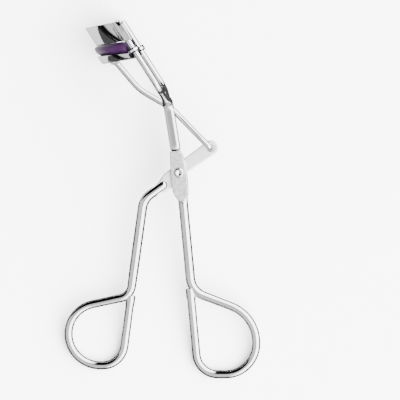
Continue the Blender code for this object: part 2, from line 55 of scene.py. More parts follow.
# Handles
SHANK_RADIUS = 1.42 * MM
LOOP_RADIUS = 1.22 * MM             # finger loops, drawn a little thinner than the shanks
LOOP_TAPER = (24 * MM, 42 * MM)     # where along the rod the shank thins down to the loop
WELD_FLARE = 0.16 * MM              # thicker end, where the loop closes on its own shank
# Bends of each rod: x, y and bend radius in mm, from the rivet end outwards
LEVER_HANDLE_BENDS = (
    (-4.76, -3.68, 0.0),
    (-10.58, -7.91, 5.9),
    (-14.50, -36.41, 4.2),
    (-32.76, -40.44, 8.9),
    (-32.76, -56.97, 9.3),
    (-17.00, -56.97, 6.5),
    (-14.30, -36.30, 0.0),
)
FRAME_HANDLE_BENDS = (
    (0.62, -3.97, 0.0),
    (3.56, -34.94, 6.0),
    (22.62, -42.20, 11.5),
    (22.62, -59.50, 9.1),
    (5.53, -59.50, 6.3),
    (3.15, -34.20, 0.0),
)
TANG_LENGTH = 3.8 * MM
TANG_HALF_THICKNESS = 0.75 * MM
TANG_TAPER = 1.2 * MM
FORK_DEPTH = 3.2 * MM
FORK_CLEARANCE = 0.06 * MM

# Plates and pivots. Outlines are corners: x, y and corner radius in mm
LEVER_THICKNESS = 1.3 * MM
LEVER_EDGE = 0.36 * MM
CHEEK_INNER = 1.05 * MM
CHEEK_THICKNESS = 1.2 * MM
CHEEK_EDGE = 0.28 * MM
CHEEK_FACE = CHEEK_INNER + CHEEK_THICKNESS
CHEEK_OUTLINE = (
    (-2.75, 6.45, 0.5),
    (0.20, 6.45, 0.5),
    (1.50, 3.68, 8.0),
    (2.50, -2.80, 15.0),
    (2.56, -7.20, 1.2),
    (1.18, -8.44, 1.2),
    (-0.29, -8.38, 1.5),
    (-1.85, -6.03, 4.0),
    (-2.56, -0.74, 12.0),
)
LEVER_OUTLINE = (
    (-7.20, -4.10, 0.5),
    (-4.56, -0.44, 5.0),
    (9.76, 10.44, 2.1),
    (12.20, 6.68, 2.1),
    (1.91, -0.15, 3.0),
    (-1.91, -4.40, 1.5),
    (-4.70, -5.90, 0.5),
)
LEVER_EYE = (9.20, 7.26)
EYE_HOLE_RADIUS = 1.02 * MM
RIVET_PIN_RADIUS = 0.9 * MM
RIVET_PIN_REACH = 1.0 * MM          # how far the pin stands out behind the rear cheek
RIVET_HEAD_RADIUS = 1.5 * MM
RIVET_HEAD_HEIGHT = 1.05 * MM
RIVET_HEAD_WALL = 0.35 * MM         # upright side of the head, below its dome
RIVET_DOME = 0.62 * MM
RIVET_DIMPLE = ((0.72, 0.06), (0.52, 0.20), (0.25, 0.28), (0.04, 0.30))     # radius and depth in mm
BURR_HOLE_RADIUS = 0.92 * MM
BURR_RADIUS = 1.65 * MM
BURR_THICKNESS = 0.72 * MM
WASHER_HOLE_RADIUS = 0.74 * MM
WASHER_RADIUS = 1.55 * MM
WASHER_THICKNESS = 0.6 * MM
WASHER_GAP = 0.02 * MM
WASHER_EDGE = 0.1 * MM

# Arms: places in the tool's own plane in mm, and how far each stretch is from the middle
ARM_RADIUS = 0.92 * MM
ARM_SPREAD = 15.6 * MM
NECK_SPREAD = 2.05 * MM
ARM_TOP = (-17.68, 44.20)
ARM_SHOULDER = (-5.09, 24.56)
ARM_CROTCH = (-3.35, 20.29)
ARM_FOOT = (-1.17, 6.85)
SHOULDER_BEND = 4.5 * MM
CROTCH_BEND = 3.0 * MM
NECK_HALF_WIDTH = 1.43 * MM
NECK_HALF_THICKNESS = 0.75 * MM
NECK_TAPER = (13.5 * MM, 19 * MM)   # where along the arm the strap turns into the wire
NECK_POWER = 0.55                   # how square the strap's section is: 1 is an ellipse
ARM_TIP_STEP = 0.08 * MM
ARM_TIP_SHRINK = (0.03 * MM, 0.10 * MM, 0.25 * MM)
FOOT_SLOPE = (0.45, -0.45)          # where the strap's foot starts to thin, and its end, from ARM_FOOT
FOOT_STEPS = ((0.12, 0.99, 0.93), (0.5, 0.93, 0.62), (1.0, 0.78, 0.18))   # share, width, thickness

# Jaws. A drop is measured from the top of the arms, down along them
JAW_FORWARD = (-0.983, -0.180)
JAW_RADIUS = 15.25 * MM
JAW_REACH = 9.95 * MM
SHEET = 0.5 * MM
SHEET_EDGE = 0.12 * MM
WRAP_GAP = 0.2 * MM                 # between an arm and the ear rolled round it
STEP_RADIUS = 0.9 * MM
EAR_BACK = 0.75 * MM
UPPER_JAW_HEIGHT = 6.3 * MM
PAD_HALF_WIDTH = 1.5 * MM
PAD_CROWN_DROP = UPPER_JAW_HEIGHT   # the closed pad comes up to the upper jaw's lower edge
PAD_BULB_DROP = 9.5 * MM
PAD_BOW = (0.8, 0.93)               # how full the bulb's sides are, and how flat its crown is
PAD_END_ROUNDING = 0.9 * MM
PAD_FOOT_DROP = 11.3 * MM
PAD_FOOT_HALF_WIDTH = 0.8 * MM
PAD_END_ANGLE = math.radians(64.6)
TROUGH_HALF_WIDTH = 1.9 * MM
TROUGH_WALL = 0.45 * MM
TROUGH_CORNER = 0.6 * MM
TROUGH_RIM_DROP = 9.55 * MM
RIM_FALL = 0.75 * MM
TROUGH_FLOOR_DROP = 12.2 * MM
TROUGH_END_ANGLE = math.radians(63.5)
EYELET_DROPS = (8.85 * MM, 10.3 * MM)
EYELET_HOLE_RADIUS = ARM_RADIUS + 0.3 * MM
EYELET_RADIUS = 1.70 * MM
EYELET_OFFSET = 0.15 * MM           # towards the jaw, as the eyelet wanders the other way in mid stroke
EYELET_EDGE = 0.12 * MM
# width of the painted shade, a near-black rim at each end of an eyelet's band
EYELET_PAINTED_SHADE_RIM = 0.50 * MM
TONGUE_TOP_DROP = 9.2 * MM
TONGUE_ROOT = (0.9 * MM, 1.0 * MM)  # half sizes inside the ring, forward and across
TONGUE_HALF_WIDTH = 1.6 * MM        # where it meets the channel's end
SADDLE_FORWARD = (6.9 * MM, 9.4 * MM)
SADDLE_HALF_WIDTH = 1.6 * MM
SADDLE_BOTTOM_DROP = 13.0 * MM
SADDLE_EDGE = 0.2 * MM
JOIN_INSET = 0.05 * MM              # keeps two joined faces from lying in one plane

ROD_RADIUS = 0.87 * MM
ROD_FLARE = 0.12 * MM               # thicker end, where the push rod is brazed to its saddle
PIN_RADIUS = 0.72 * MM              # hooked end of the push rod
# Push rod from the saddle to the eye, in front of the lever plate: x, y, z and bend radius in mm
ROD_Z = LEVER_THICKNESS / 2 + 0.3 * MM + ROD_RADIUS
ROD_BENDS = (
    (-18.60, 32.29, 0.0, 0.0),
    (-11.85, 24.35, 0.0, 15.0),
    (-2.26, 18.76, 0.0, 12.0),
    (0.15, 16.32, 0.0, 6.0),
    (6.60, 9.81, ROD_Z / MM, 4.0),
    (*LEVER_EYE, ROD_Z / MM, 1.1),
    (*LEVER_EYE, -1.55, 0.0),
)

ARC_STEP = math.radians(5.0)        # longest steps of the meshes, round a bend and along a rod
ROD_STEP = 0.8 * MM

# Photograph's view: how far the camera leans from square to the tool, and what it frames
CAMERA_LEAN = (0.039, 0.042)
CAMERA_DISTANCE = 1.2
CAMERA_AIM = (6.03, -8.09)
FRAMED_WIDTH = 117.65 * MM

# Studio: the room seen in the plating, as sines of elevation and slopes beside the flag's middle
ROOM_LIGHT = (1.6, 11.0)            # left and right half of the room
ROOM_SPLIT = (0.0, 0.30)
OVERHEAD = (0.93, 0.98)
OVERHEAD_DIMMING = 0.35
BACKDROP = 6.0                      # what the camera sees beyond the floor
DARKEST = 0.004                     # light left in the strip and the flag
HORIZON_STRIP = (0.13, 0.28)
FLAG_AZIMUTH = 122.0
FLAG_EDGE = (0.65, 0.90)
FLAG_TOP = (-0.02, 0.08)
FLOOR_REACH = 12.0
KEY_PLACE = (0.85, -0.85, 1.25)
KEY_SIZE = 2.0
KEY_POWER = 260.0
# Cards seen only in the plating: corners in millimetres, and how pale each one is
CARDS = (
    ("jaw_card", ((-122, -150, 12), (-122, 250, 12), (-122, 250, 30), (-122, -150, 30)), 0.002),
    ("floor_card_low", ((-300, -300, 0.05), (300, -300, 0.05), (300, 22, 0.05), (-300, 22, 0.05)), 0.015),
    ("floor_card_right", ((-21, 22, 0.05), (300, 22, 0.05), (300, 300, 0.05), (-21, 300, 0.05)), 0.015),
    ("floor_card_head", ((-300, 22, 0.05), (-21, 22, 0.05), (-21, 300, 0.05), (-300, 300, 0.05)), 0.26),
)


def tool_matrix():
    """Place of the tool's own frame in the world, from the record's two hinges."""
    joints = {joint["name"]: joint for joint in frame["record"]["behaviour"]["joints"]}
    rivet = Vector(joints["lever_open"]["pos_m"])
    eye = Vector(joints["jaw_open"]["pos_m"])
    z_axis = Vector(joints["jaw_open"]["axis"]).normalized()
    lean = math.atan2(LEVER_EYE[1], LEVER_EYE[0])
    x_axis = Matrix.Rotation(-lean, 3, z_axis) @ (eye - rivet).normalized()
    y_axis = z_axis.cross(x_axis)
    rotation = Matrix((x_axis, y_axis, z_axis)).transposed()
    return Matrix.Translation(rivet) @ rotation.to_4x4()


TOOL = tool_matrix()


# ---------------------------------------------------------------- materials

class Nodes:
    """Short way to add and wire shader nodes in a tree."""

    def __init__(self, tree):
        self.tree = tree

    def add(self, kind, **settings):
        node = self.tree.nodes.new(kind)
        for key, value in settings.items():
            setattr(node, key, value)
        return node

    def link(self, source, target):
        self.tree.links.new(source, target)

    def maths(self, operation, *values):
        node = self.add("ShaderNodeMath", operation=operation)
        for socket, value in zip(node.inputs, values):
            if isinstance(value, (int, float)):
                socket.default_value = value
            else:
                self.link(value, socket)
        return node.outputs["Value"]

    def fade(self, value, start, end):
        """Smooth change from 0 to 1 as value goes from start to end."""
        node = self.add("ShaderNodeMapRange", interpolation_type="SMOOTHSTEP")
        node.inputs["From Min"].default_value = start
        node.inputs["From Max"].default_value = end
        self.link(value, node.inputs["Value"])
        return node.outputs["Result"]


class Surface(Nodes):
    """Nodes of a new material, with what the pieces' materials have in common."""

    def __init__(self, name):
        self.material = bpy.data.materials.new(name)
        self.material.use_nodes = True
        super().__init__(self.material.node_tree)
        self.shader = self.tree.nodes["Principled BSDF"]

    def tool_place(self):
        """Point on the piece in the tool's own frame, so that a pattern keeps to the tool."""
        coords = self.add("ShaderNodeTexCoord")
        back = TOOL.inverted()
        node = self.add("ShaderNodeMapping")
        node.inputs["Location"].default_value = back.translation
        node.inputs["Rotation"].default_value = back.to_euler()
        self.link(coords.outputs["Object"], node.inputs["Vector"])
        return node.outputs["Vector"]

    def noise(self, vector, scale, detail, roughness):
        node = self.add("ShaderNodeTexNoise")
        node.inputs["Scale"].default_value = scale
        node.inputs["Detail"].default_value = detail
        node.inputs["Roughness"].default_value = roughness
        self.link(vector, node.inputs["Vector"])
        return node.outputs["Fac"]

    def stretched(self, source, scale):
        """Place scaled unevenly, so that a noise on it becomes a grain."""
        node = self.add("ShaderNodeMapping")
        node.inputs["Scale"].default_value = scale
        self.link(source, node.inputs["Vector"])
        return node.outputs["Vector"]

    def ranged(self, value, low, high, to_low, to_high):
        """Straight change from to_low to to_high as value goes from low to high."""
        node = self.add("ShaderNodeMapRange", clamp=True)
        node.inputs["From Min"].default_value = low
        node.inputs["From Max"].default_value = high
        node.inputs["To Min"].default_value = to_low
        node.inputs["To Max"].default_value = to_high
        self.link(value, node.inputs["Value"])
        return node.outputs["Result"]

    def bump(self, height, strength, distance):
        """Relief on the surface."""
        node = self.add("ShaderNodeBump")
        node.inputs["Strength"].default_value = strength
        node.inputs["Distance"].default_value = distance
        self.link(height, node.inputs["Height"])
        self.link(node.outputs["Normal"], self.shader.inputs["Normal"])

    def blend_colour(self, share, first, second):
        """Base colour that goes from the first to the second as share goes from 0 to 1."""
        node = self.add("ShaderNodeValToRGB")
        node.color_ramp.elements[0].color = (*first, 1.0)
        node.color_ramp.elements[1].color = (*second, 1.0)
        self.link(share, node.inputs["Fac"])
        self.link(node.outputs["Color"], self.shader.inputs["Base Color"])

    def set(self, **values):
        """Set the shader's own sockets. An underscore stands for a space in a socket's name."""
        for name, value in values.items():
            self.shader.inputs[name.replace("_", " ")].default_value = value

    def roughness(self, value):
        self.link(value, self.shader.inputs["Roughness"])

    def edge_mask(self, radius):
        """1 on outer edges, 0 on flats: how far the rounded normal leans from the real one."""
        bevel = self.add("ShaderNodeBevel", samples=4)
        bevel.inputs["Radius"].default_value = radius
        geometry = self.add("ShaderNodeNewGeometry")
        dot = self.add("ShaderNodeVectorMath", operation="DOT_PRODUCT")
        self.link(bevel.outputs["Normal"], dot.inputs[0])
        self.link(geometry.outputs["Normal"], dot.inputs[1])
        return self.ranged(dot.outputs["Value"], 0.995, 0.90, 0.0, 1.0)


def chrome_material(name, scratch_scale, use_uv):
    """Mirror plating: faint lengthwise hairlines, soft smudges and duller worn edges."""
    nodes = Surface(name)
    place = nodes.tool_place()
    source = nodes.add("ShaderNodeTexCoord").outputs["UV"] if use_uv else place
    hairlines = nodes.noise(nodes.stretched(source, scratch_scale), 1.0, 2.0, 0.6)
    smudges = nodes.noise(place, 160.0, 3.0, 0.55)
    specks = nodes.noise(place, 2600.0, 2.0, 0.6)
    edges = nodes.edge_mask(0.22 * MM)
    hairline_roughness = nodes.ranged(hairlines, 0.45, 0.75, 0.0, 0.035)
    smudge_roughness = nodes.ranged(smudges, 0.48, 0.72, 0.03, 0.09)
    roughness = nodes.maths("ADD", hairline_roughness, smudge_roughness)
    worn = nodes.maths("MULTIPLY", edges, nodes.ranged(specks, 0.35, 0.65, 0.0, 0.16))
    nodes.roughness(nodes.maths("ADD", roughness, worn))
    mottle = nodes.ranged(smudges, 0.35, 0.80, 0.0, 1.0)
    nodes.blend_colour(mottle, (0.62, 0.62, 0.625), (0.52, 0.525, 0.535))
    nodes.bump(hairlines, 0.06, 0.02 * MM)
    nodes.set(Metallic=1.0)
    return nodes.material


def dark_edge_material():
    """Darker, mottled colour on the cut edges of the upper jaw's sheet."""
    nodes = Surface("dark_cut_edge")
    blotches = nodes.noise(nodes.tool_place(), 900.0, 3.0, 0.6)
    mottle = nodes.ranged(blotches, 0.35, 0.75, 0.0, 1.0)
    nodes.blend_colour(mottle, (0.07, 0.07, 0.072), (0.20, 0.20, 0.205))
    nodes.roughness(nodes.ranged(blotches, 0.3, 0.7, 0.22, 0.42))
    nodes.set(Metallic=1.0)
    return nodes.material


def eyelet_material(name, rim_width):
    """Bright plating on the eyelets' bands, with painted shade as near-black rims at both ends of the
    band, and faint random wear.
    """
    nodes = Surface(name)
    place = nodes.tool_place()
    along_arm = nodes.add("ShaderNodeVectorMath", operation="DOT_PRODUCT")
    nodes.link(place, along_arm.inputs[0])
    along_arm.inputs[1].default_value = slide_direction()
    middle = jaw_point(0.0, 0.0, sum(EYELET_DROPS) / 2).dot(slide_direction())
    half = (EYELET_DROPS[1] - EYELET_DROPS[0]) / 2
    offset = nodes.maths("SUBTRACT", along_arm.outputs["Value"], middle)
    from_middle = nodes.maths("ABSOLUTE", offset)
    # Painted shade: a near-black band at each end of the eyelet, where shade falls between the ring and
    # the arm.
    rim = nodes.ranged(from_middle, half - rim_width, half - 0.7 * rim_width, 0.0, 1.0)
    wear = nodes.noise(place, 1500.0, 3.0, 0.6)
    wear_and_painted_shade = nodes.maths("ADD", rim, nodes.ranged(wear, 0.45, 0.8, 0.0, 0.12))
    # The near-black colour is painted shade at the band's ends; the noise adds a little real wear.
    nodes.blend_colour(wear_and_painted_shade, (0.90, 0.90, 0.91), (0.003, 0.003, 0.0032))
    nodes.roughness(nodes.ranged(wear, 0.35, 0.7, 0.10, 0.22))
    nodes.set(Metallic=1.0)
    return nodes.material


def satin_material(name, grain, pale, dark, dent_depth):
    """Blanked steel plate with a satin grain, shallow dents and polished edges."""
    nodes = Surface(name)
    place = nodes.tool_place()
    brushed = nodes.noise(nodes.stretched(place, grain), 1.0, 4.0, 0.65)
    dents = nodes.noise(place, 900.0, 3.0, 0.6)
    edges = nodes.edge_mask(0.25 * MM)
    base = nodes.ranged(brushed, 0.35, 0.70, 0.30, 0.46)
    polished = nodes.maths("MULTIPLY", edges, -0.26)
    nodes.roughness(nodes.maths("ADD", base, polished))
    mottle = nodes.ranged(dents, 0.35, 0.70, 0.0, 1.0)
    nodes.blend_colour(mottle, (pale, pale, pale * 1.01), (dark, dark, dark * 1.02))
    height = nodes.maths("ADD", nodes.maths("MULTIPLY", brushed, 0.7), nodes.maths("MULTIPLY", dents, 0.5))
    nodes.bump(height, dent_depth, 0.03 * MM)
    nodes.set(Metallic=1.0)
    return nodes.material


def silicone_material():
    """Purple silicone: a soft sheen at its edges, with a faint moulded texture."""
    nodes = Surface("purple_silicone")
    place = nodes.tool_place()
    cloud = nodes.noise(place, 220.0, 3.0, 0.5)
    grain = nodes.noise(place, 3500.0, 2.0, 0.5)
    mottle = nodes.ranged(cloud, 0.3, 0.7, 0.02, 0.26)
    nodes.blend_colour(mottle, (0.010, 0.0012, 0.0145), (0.055, 0.022, 0.070))
    nodes.roughness(nodes.ranged(cloud, 0.35, 0.70, 0.26, 0.40))
    nodes.bump(grain, 0.12, 0.02 * MM)
    nodes.set(Subsurface_Weight=0.2, Subsurface_Radius=(1.0, 0.5, 1.4), Subsurface_Scale=0.9 * MM)
    nodes.set(IOR=1.41, Specular_IOR_Level=0.22)
    nodes.set(Sheen_Weight=0.04, Sheen_Roughness=0.4, Sheen_Tint=(0.75, 0.60, 0.80, 1.0))
    return nodes.material


# ---------------------------------------------------------------- paths and outlines

def bent_path(corners, radii, longest=ROD_STEP):
    """Points along straight runs joined by arcs, as a rod is bent round pegs."""
    points = [corners[0]]
    for i in range(1, len(corners) - 1):
        corner = corners[i]
        towards = (corner - corners[i - 1]).normalized()
        away = (corners[i + 1] - corner).normalized()
        turn = towards.angle(away)
        axis = towards.cross(away).normalized()
        start = corner - towards * (radii[i] * math.tan(turn / 2))
        centre = start + axis.cross(towards) * radii[i]
        steps = max(3, math.ceil(turn / ARC_STEP))
        for step in range(steps + 1):
            spin = Matrix.Rotation(turn * step / steps, 3, axis)
            points.append(centre + spin @ (start - centre))
    points.append(corners[-1])
    path = [points[0]]
    for point in points[1:]:
        run = (point - path[-1]).length
        if run < 0.02 * MM:
            continue
        start = path[-1]
        parts = max(1, math.ceil(run / longest))
        for part in range(1, parts + 1):
            path.append(start.lerp(point, part / parts))
    return path


def flat_path(bends):
    """Bent path in the tool's own plane."""
    corners = [Vector((x, y, 0.0)) * MM for x, y, _ in bends]
    return bent_path(corners, [radius * MM for _, _, radius in bends])


def rounded_outline(corners):
    """Closed outline whose corners are arcs of the radii given."""
    points = [Vector((x, y)) * MM for x, y, _ in corners]
    outline = []
    for i, corner in enumerate(points):
        towards = (corner - points[i - 1]).normalized()
        away = (points[(i + 1) % len(points)] - corner).normalized()
        turn = towards.angle_signed(away)
        radius = corners[i][2] * MM
        start = corner - towards * (radius * math.tan(abs(turn) / 2))
        side = Vector((towards.y, -towards.x)) * math.copysign(1.0, turn)
        centre = start + side * radius
        steps = max(2, math.ceil(abs(turn) / ARC_STEP))
        for step in range(steps + 1):
            spin = Matrix.Rotation(-turn * step / steps, 2)
            outline.append(centre + spin @ (start - centre))
    return outline


def along(path):
    """Distance of each point from the path's start."""
    lengths = [0.0]
    for before, after in zip(path, path[1:]):
        lengths.append(lengths[-1] + (after - before).length)
    return lengths


def ramp(value, start, end, low, high):
    """Smooth change from low to high as value goes from start to end."""
    share = min(1.0, max(0.0, (value - start) / (end - start)))
    share = share * share * (3 - 2 * share)
    return low + (high - low) * share


# ---------------------------------------------------------------- meshes

def finish_piece(name, bm, material, body, node, sharp=40.0):
    """Turn a mesh in the tool's frame into a piece that rides on a body and stands for a CAD node."""
    bmesh.ops.recalc_face_normals(bm, faces=bm.faces)
    bmesh.ops.transform(bm, matrix=TOOL, verts=bm.verts)
    mesh = bpy.data.meshes.new(name)
    bm.to_mesh(mesh)
    bm.free()
    mesh.shade_smooth()
    mesh.set_sharp_from_angle(angle=math.radians(sharp))
    mesh.materials.append(material)
    obj = bpy.data.objects.new(name, mesh)
    bpy.context.collection.objects.link(obj)
    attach(obj, body)
    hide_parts(node)
    return obj


def cutter_piece(name, bm):
    """Helper solid for a cut or a join. solid_with() uses it up and removes it."""
    bmesh.ops.recalc_face_normals(bm, faces=bm.faces)
    mesh = bpy.data.meshes.new(name)
    bm.to_mesh(mesh)
    bm.free()
    obj = bpy.data.objects.new(name, mesh)
    bpy.context.collection.objects.link(obj)
    return obj


def solid_with(base, tools):
    """Apply (operation, mesh) pairs to a mesh and return the result as a bmesh."""
    target = cutter_piece("target", base)
    helpers = []
    for operation, bm in tools:
        helper = cutter_piece("helper", bm)
        helpers.append(helper)
        modifier = target.modifiers.new(operation, "BOOLEAN")
        modifier.operation = operation
        modifier.object = helper
    depsgraph = bpy.context.evaluated_depsgraph_get()
    result = bmesh.new()
    result.from_mesh(target.evaluated_get(depsgraph).to_mesh())
    for obj in helpers + [target]:
        bpy.data.objects.remove(obj, do_unlink=True)
    return result


def soften(obj, width):
    """Round the edges left by cutting, as tumbling and plating do."""
    bevel = obj.modifiers.new("Rounded edges", "BEVEL")
    bevel.width = width
    bevel.segments = 3
    bevel.limit_method = "ANGLE"
    bevel.angle_limit = math.radians(35.0)
    bevel.harden_normals = True


def bridge_rings(bm, rings, closed=False):
    """Skin a row of rings. Open rows get both ends closed. UVs run along and round the piece."""
    layer = bm.loops.layers.uv.verify()
    count = len(rings[0])
    spacing = [0.0]
    for before, after in zip(rings, rings[1:]):
        spacing.append(spacing[-1] + (after[0].co - before[0].co).length)
    pairs = list(zip(range(len(rings)), range(1, len(rings))))
    if closed:
        pairs.append((len(rings) - 1, 0))
    for a, b in pairs:
        for i in range(count):
            j = (i + 1) % count
            face = bm.faces.new((rings[a][i], rings[a][j], rings[b][j], rings[b][i]))
            places = ((spacing[a], i), (spacing[a], i + 1), (spacing[b], i + 1), (spacing[b], i))
            for loop, (length, turn) in zip(face.loops, places):
                loop[layer].uv = (length * 100, turn / count)
    if not closed:
        bm.faces.new(rings[0])
        bm.faces.new(list(reversed(rings[-1])))


def flattened(share, power):
    """Cosine or sine of a section's angle, pressed towards a flat-faced strap by a power under 1."""
    return math.copysign(abs(share) ** power, share)


def swept_rod(path, sizes, first_side, sides=28, domes=(False, False), powers=None):
    """Rod of elliptic section along a path, from each point's two half sizes."""
    powers = powers or [1.0] * len(path)
    tangents = []
    for i in range(len(path)):
        before = path[max(i - 1, 0)]
        after = path[min(i + 1, len(path) - 1)]
        tangents.append((after - before).normalized())
    side = (first_side - tangents[0] * first_side.dot(tangents[0])).normalized()
    previous = tangents[0]
    frames = []
    for tangent in tangents:
        side = previous.rotation_difference(tangent) @ side
        side = (side - tangent * side.dot(tangent)).normalized()
        frames.append((side, tangent.cross(side)))
        previous = tangent

    def ring(centre, axes, size, power):
        points = []
        for step in range(sides):
            angle = 2 * math.pi * step / sides
            across = axes[0] * (size[0] * flattened(math.cos(angle), power))
            square = axes[1] * (size[1] * flattened(math.sin(angle), power))
            points.append(centre + across + square)
        return points

    rings = [ring(*station) for station in zip(path, frames, sizes, powers)]
    for end, outwards in ((0, -tangents[0]), (-1, tangents[-1])):
        if not domes[end]:
            continue
        caps = []
        for degrees in (15, 30, 45, 60, 72, 84):
            angle = math.radians(degrees)
            centre = path[end] + outwards * (min(sizes[end]) * math.sin(angle))
            size = (sizes[end][0] * math.cos(angle), sizes[end][1] * math.cos(angle))
            caps.append(ring(centre, frames[end], size, powers[end]))
        rings = list(reversed(caps)) + rings if end == 0 else rings + caps
    bm = bmesh.new()
    bridge_rings(bm, [[bm.verts.new(point) for point in points] for points in rings])
    return bm


def prism(outline, low, high):
    """Plate of an outline in the tool's own plane, from one height to another."""
    bm = bmesh.new()
    rings = []
    for height in (low, high):
        rings.append([bm.verts.new((point.x, point.y, height)) for point in outline])
    bridge_rings(bm, rings)
    return bm


def turned(profile, sides=48, centre=(0.0, 0.0), closed=False):
    """Solid of revolution about an axis along z, from (radius, z) points."""
    bm = bmesh.new()
    rings = []
    for radius, height in profile:
        ring = []
        for step in range(sides):
            angle = 2 * math.pi * step / sides
            x = centre[0] * MM + radius * math.cos(angle)
            y = centre[1] * MM + radius * math.sin(angle)
            ring.append(bm.verts.new((x, y, height)))
        rings.append(ring)
    bridge_rings(bm, rings, closed)
    return bm


# ---------------------------------------------------------------- jaw coordinates

def slide_direction():
    """The way up the arms' straight run, which the lower jaw slides along."""
    top = Vector((*ARM_TOP, 0.0))
    shoulder = Vector((*ARM_SHOULDER, 0.0))
    return (top - shoulder).normalized()


def forward_direction():
    """The way the jaws face, in the tool's own plane."""
    return Vector((*JAW_FORWARD, 0.0)).normalized()


def forward_slant():
    """Sine of the angle between the way the jaws face and the arms."""
    return slide_direction().cross(forward_direction()).length


def jaw_point(across, forward, drop):
    """Place from the top of the arms: across the tool, out in front and down the arms."""
    place = Vector((*ARM_TOP, 0.0)) * MM
    place += forward_direction() * forward
    place -= slide_direction() * drop
    place.z = across
    return place


def jaw_arc(half_angle, steps):
    """Plan of the jaws: (across, forward) points and the way out from the arc at each."""
    centre = JAW_REACH - JAW_RADIUS
    places = []
    for step in range(steps + 1):
        angle = -half_angle + 2 * half_angle * step / steps
        outwards = Vector((math.sin(angle), math.cos(angle)))
        places.append((Vector((0.0, centre)) + outwards * JAW_RADIUS, outwards))
    return places


def rim_fall(outwards):
    """How far the channel's rim has fallen at a place on the arc."""
    angle = math.atan2(outwards.x, outwards.y)
    return RIM_FALL * min(1.0, (angle / TROUGH_END_ANGLE) ** 2)


def jaw_ribbon(places, sections):
    """Solid along the jaws' arc, from the (offset, drop) section at each place."""
    bm = bmesh.new()
    rings = []
    for (place, outwards), section in zip(places, sections):
        ring = []
        for offset, drop in section:
            spot = place + outwards * offset
            ring.append(bm.verts.new(jaw_point(spot.x, spot.y, drop)))
        rings.append(ring)
    bridge_rings(bm, rings)
    return bm


def rounded_strip(half, top, bottom, radius):
    """Section of a sheet whose two edges are rounded."""
    points = []
    for drop, start in ((bottom - radius, 0), (top + radius, 180)):
        for degrees in range(start, start + 181, 30):
            angle = math.radians(degrees)
            points.append((half * math.cos(angle), drop + radius * math.sin(angle)))
    return points


# ---------------------------------------------------------------- handles and pivot

def rod_sizes(path, tang):
    """Half sizes along a handle's rod, which is pressed to a flat tang at its start if asked."""
    lengths = along(path)
    sizes = []
    for distance in lengths:
        radius = ramp(distance, *LOOP_TAPER, SHANK_RADIUS, LOOP_RADIUS)
        radius += ramp(lengths[-1] - distance, 2.2 * MM, 3.6 * MM, WELD_FLARE, 0.0)
        half_z = radius
        if tang:
            half_z = ramp(distance, TANG_LENGTH, TANG_LENGTH + TANG_TAPER, TANG_HALF_THICKNESS, radius)
        sizes.append((radius, half_z))
    return sizes


def frame_handle(material):
    """Right handle, with a flat tang between the cheeks."""
    path = flat_path(FRAME_HANDLE_BENDS)
    bm = swept_rod(path, rod_sizes(path, True), Vector((1.0, 0.0, 0.0)))
    return finish_piece("frame_handle_rod", bm, material, "frame", "frame_handle")


def lever_handle(material):
    """Left handle, with its rounded upper end slotted to take the lever plate."""
    path = flat_path(LEVER_HANDLE_BENDS)
    rod = swept_rod(path, rod_sizes(path, False), Vector((1.0, 0.0, 0.0)), domes=(True, False))
    way = (path[0] - path[3]).normalized()
    side = Vector((-way.y, way.x)) * 4 * MM
    back = (path[0] - way * FORK_DEPTH).to_2d()
    front = (path[0] + way * 3 * MM).to_2d()
    half = LEVER_THICKNESS / 2 + FORK_CLEARANCE
    slot = prism([back - side, back + side, front + side, front - side], -half, half)
    bm = solid_with(rod, [("DIFFERENCE", slot)])
    return finish_piece("lever_handle_rod", bm, material, "lever", "lever_handle")


def lever_plate(material):
    """Flat crank with the eye for the push rod. Its rivet hole is hidden, and isn't cut."""
    half = LEVER_THICKNESS / 2
    plate = prism(rounded_outline(LEVER_OUTLINE), -half, half)
    hole = turned([(EYE_HOLE_RADIUS, -2 * MM), (EYE_HOLE_RADIUS, 2 * MM)], 40, LEVER_EYE)
    bm = solid_with(plate, [("DIFFERENCE", hole)])
    obj = finish_piece("lever_plate_blank", bm, material, "lever", "lever_plate")
    soften(obj, LEVER_EDGE)
    return obj


def cheek(name, side, material):
    """Leaf plate in front of the pivot (side 1) or behind it (side -1), with no rivet hole cut."""
    low, high = sorted((side * CHEEK_INNER, side * CHEEK_FACE))
    bm = prism(rounded_outline(CHEEK_OUTLINE), low, high)
    obj = finish_piece(name + "_leaf", bm, material, "frame", name)
    soften(obj, CHEEK_EDGE)
    return obj


def pivot_rivet(material):
    """Domed head with a raised ring and a shallow dimple, left by the riveting tool."""
    top = CHEEK_FACE + RIVET_HEAD_HEIGHT
    wall_top = CHEEK_FACE + RIVET_HEAD_WALL
    profile = [
        (0.75 * MM, -CHEEK_FACE - RIVET_PIN_REACH),
        (RIVET_PIN_RADIUS, -CHEEK_FACE - RIVET_PIN_REACH + 0.1 * MM),
        (RIVET_PIN_RADIUS, CHEEK_FACE),
        (RIVET_HEAD_RADIUS, CHEEK_FACE),
        (RIVET_HEAD_RADIUS, wall_top),
    ]
    for degrees in range(15, 91, 15):
        angle = math.radians(degrees)
        radius = RIVET_HEAD_RADIUS - RIVET_DOME + RIVET_DOME * math.cos(angle)
        profile.append((radius, wall_top + (top - wall_top) * math.sin(angle)))
    profile += [(radius * MM, top - depth * MM) for radius, depth in RIVET_DIMPLE]
    return finish_piece("pivot_rivet_pin", turned(profile), material, "frame", "pivot_rivet")


def washer_profile(inner, outer, low, high):
    """Closed section of a flat ring with broken edges."""
    edge = WASHER_EDGE
    return [(inner, low + edge), (inner + edge, low), (outer - edge, low), (outer, low + edge),
            (outer, high - edge), (outer - edge, high), (inner + edge, high), (inner, high - edge)]


def rivet_burr(material):
    """Ring at the rear end of the main rivet."""
    profile = washer_profile(BURR_HOLE_RADIUS, BURR_RADIUS, -CHEEK_FACE - BURR_THICKNESS, -CHEEK_FACE)
    return finish_piece("rivet_burr_ring", turned(profile, closed=True), material, "frame", "rivet_burr")


# ---------------------------------------------------------------- arms, jaws and push rod

